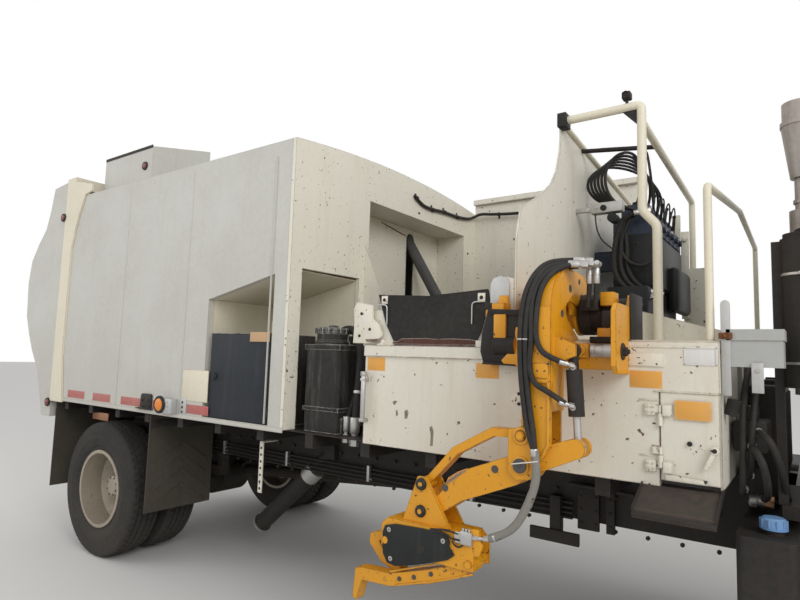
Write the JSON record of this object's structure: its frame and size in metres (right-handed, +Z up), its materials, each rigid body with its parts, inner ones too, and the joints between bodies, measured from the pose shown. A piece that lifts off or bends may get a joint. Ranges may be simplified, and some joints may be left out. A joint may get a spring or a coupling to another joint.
{
  "type": "side loading garbage truck",
  "caption": "Side-loading refuse truck: cab-over chassis, closed load body with lifting tailgate, open hopper and a gooseneck bin-lifting arm on the curb side.",
  "frame": {"origin": "on the floor, in the middle of the overall length and width", "axes": "+X forward, +Y to the left (street) side, +Z up"},
  "size_m": [8.13, 3.04, 3.43],
  "materials": {
    "frame_black": "satin",
    "body_grey": "semi-gloss, dusty",
    "body_cream": "semi-gloss, chipped",
    "arm_yellow": "semi-gloss, worn",
    "tyre_rubber": "matt",
    "rim_cream": "worn",
    "flap_rubber": "matt",
    "cast_dark": "oily",
    "steel": "worn",
    "cab_white": "gloss",
    "cab_trim": "matt",
    "deck_mixed": "satin",
    "glass": "clear",
    "mirror": "polished",
    "galvanised": "zinc, dull",
    "hose_rubber": "satin",
    "lamp_red": "glossy lens",
    "lamp_amber": "glossy lens",
    "tape_red": "satin film",
    "sticker_orange": "satin film, blank",
    "cap_blue": "satin"
  },
  "bodies": {
    "chassis": {"chassis_frame": "frame_black", "body_floor": "frame_black", "rear_axle": "cast_dark", "front_axle": "cast_dark", "engine": "cast_dark", "side_tanks": "frame_black", "exhaust_stack": "steel", "mudflaps": "flap_rubber", "rear_guard": "frame_black", "front_bumper": "frame_black", "body_side_right": "body_grey", "body_side_left": "body_grey", "body_roof": "body_grey", "bay_liner": "body_cream", "body_front": "body_cream", "rear_ring": "body_cream", "roof_housing": "body_grey", "bay_equipment": "frame_black", "hopper_side": "body_grey", "hopper_walls": "body_grey", "hopper_front": "body_grey", "front_deck": "body_grey", "step_tray": "frame_black", "rubber_flap": "flap_rubber", "deck_rails": "body_cream", "deck_equipment": "deck_mixed", "control_box": "galvanised", "air_canister": "frame_black", "packing_cylinder": "steel", "arm_base": "arm_yellow"},
    "knuckle_right_body": {"knuckle_right": "cast_dark"},
    "knuckle_left_body": {"knuckle_left": "cast_dark"},
    "wheel_front_right": {"front_tyre_right": "tyre_rubber", "front_rim_right": "rim_cream"},
    "wheel_front_left": {"front_tyre_left": "tyre_rubber", "front_rim_left": "rim_cream"},
    "wheels_rear_right": {"rear_tyres_right": "tyre_rubber", "rear_rims_right": "rim_cream"},
    "wheels_rear_left": {"rear_tyres_left": "tyre_rubber", "rear_rims_left": "rim_cream"},
    "cab": {"cab_shell": "cab_white", "cab_interior": "cab_trim", "mirrors": "frame_black"},
    "door_right": {"cab_door_right": "cab_white"},
    "door_left": {"cab_door_left": "cab_white"},
    "tailgate_body": {"tailgate": "body_grey"},
    "side_door": {"hopper_door": "body_grey"},
    "packer_body": {"packer": "frame_black"},
    "boom_body": {"boom": "arm_yellow"},
    "forearm_body": {"forearm": "arm_yellow"},
    "link_body": {"upper_link": "arm_yellow"},
    "gripper_body": {"gripper_head": "arm_yellow"},
    "jaw_front_body": {"jaw_front": "arm_yellow"},
    "jaw_rear_body": {"jaw_rear": "arm_yellow"},
    "barrel_body": {"elbow_barrel": "frame_black"},
    "rod_body": {"elbow_rod": "steel"}
  },
  "joints": [
    {"name": "steer_right", "type": "hinge", "parent": "chassis", "child": "knuckle_right_body", "pos_m": [2.765, -0.87, 0.52], "axis": [0, 0, 1], "range_deg": [-35, 35]},
    {"name": "wheel_front_right_spin", "type": "hinge", "parent": "knuckle_right_body", "child": "wheel_front_right", "pos_m": [2.765, -1.05, 0.52], "axis": [0, 1, 0], "continuous": true},
    {"name": "wheels_rear_right_spin", "type": "hinge", "parent": "chassis", "child": "wheels_rear_right", "pos_m": [-2.485, -0.93, 0.52], "axis": [0, 1, 0], "continuous": true},
    {"name": "steer_left", "type": "hinge", "parent": "chassis", "child": "knuckle_left_body", "pos_m": [2.765, 0.87, 0.52], "axis": [0, 0, 1], "range_deg": [-35, 35]},
    {"name": "wheel_front_left_spin", "type": "hinge", "parent": "knuckle_left_body", "child": "wheel_front_left", "pos_m": [2.765, 1.05, 0.52], "axis": [0, 1, 0], "continuous": true},
    {"name": "wheels_rear_left_spin", "type": "hinge", "parent": "chassis", "child": "wheels_rear_left", "pos_m": [-2.485, 0.93, 0.52], "axis": [0, 1, 0], "continuous": true},
    {"name": "cab_tilt", "type": "hinge", "parent": "chassis", "child": "cab", "pos_m": [3.935, 0, 1], "axis": [0, 1, 0], "range_deg": [0, 45]},
    {"name": "door_right_hinge", "type": "hinge", "parent": "cab", "child": "door_right", "pos_m": [3.795, -1.192, 1.8], "axis": [0, 0, 1], "range_deg": [0, 70]},
    {"name": "door_left_hinge", "type": "hinge", "parent": "cab", "child": "door_left", "pos_m": [3.795, 1.192, 1.8], "axis": [0, 0, -1], "range_deg": [0, 70]},
    {"name": "tailgate_lift", "type": "hinge", "parent": "chassis", "child": "tailgate_body", "pos_m": [-3.405, 0, 3.2], "axis": [0, 1, 0], "range_deg": [0, 90]},
    {"name": "side_door_hinge", "type": "hinge", "parent": "chassis", "child": "side_door", "pos_m": [1.685, -1.228, 1.36], "axis": [0, 0, -1], "range_deg": [0, 100]},
    {"name": "packer_slide", "type": "slide", "parent": "chassis", "child": "packer_body", "axis": [-1, 0, 0], "range_m": [0, 1]},
    {"name": "arm_lift", "type": "hinge", "parent": "chassis", "child": "boom_body", "pos_m": [1.285, -1.105, 1.844], "axis": [-1, 0, 0], "range_deg": [0, 150]},
    {"name": "elbow", "type": "hinge", "parent": "boom_body", "child": "forearm_body", "pos_m": [1.223, -1.423, 1.222], "axis": [0, -1, 0], "range_deg": [-15, 25]},
    {"name": "link_swing", "type": "hinge", "parent": "boom_body", "child": "link_body", "pos_m": [1.223, -1.423, 1.337], "axis": [0, -1, 0], "range_deg": [-15, 25]},
    {"name": "wrist", "type": "hinge", "parent": "forearm_body", "child": "gripper_body", "pos_m": [0.75856, -1.423, 0.96667], "axis": [0, -1, 0], "range_deg": [-25, 15]},
    {"name": "barrel_swing", "type": "hinge", "parent": "boom_body", "child": "barrel_body", "pos_m": [1.41, -1.423, 1.68], "axis": [0, -1, 0], "range_deg": [-12, 8]},
    {"name": "rod_slide", "type": "slide", "parent": "barrel_body", "child": "rod_body", "axis": [0.0587, 0, -0.9983], "range_m": [-0.1, 0.07]},
    {"name": "jaw_front_swing", "type": "hinge", "parent": "gripper_body", "child": "jaw_front_body", "pos_m": [1.00856, -1.464, 0.80167], "axis": [0, -1, 0], "range_deg": [0, 35]},
    {"name": "jaw_rear_swing", "type": "hinge", "parent": "gripper_body", "child": "jaw_rear_body", "pos_m": [0.58856, -1.402, 0.81667], "axis": [0, 1, 0], "range_deg": [0, 55]}
  ],
  "couplings": [
    {"joint": "steer_right", "follows": "steer_left", "ratio": 1},
    {"joint": "link_swing", "follows": "elbow", "ratio": 1},
    {"joint": "wrist", "follows": "elbow", "ratio": -1},
    {"joint": "barrel_swing", "follows": "elbow", "ratio": -0.255},
    {"joint": "rod_slide", "follows": "elbow", "m_per_rad": -0.196},
    {"joint": "jaw_rear_swing", "follows": "jaw_front_swing", "ratio": 1.5}
  ]
}
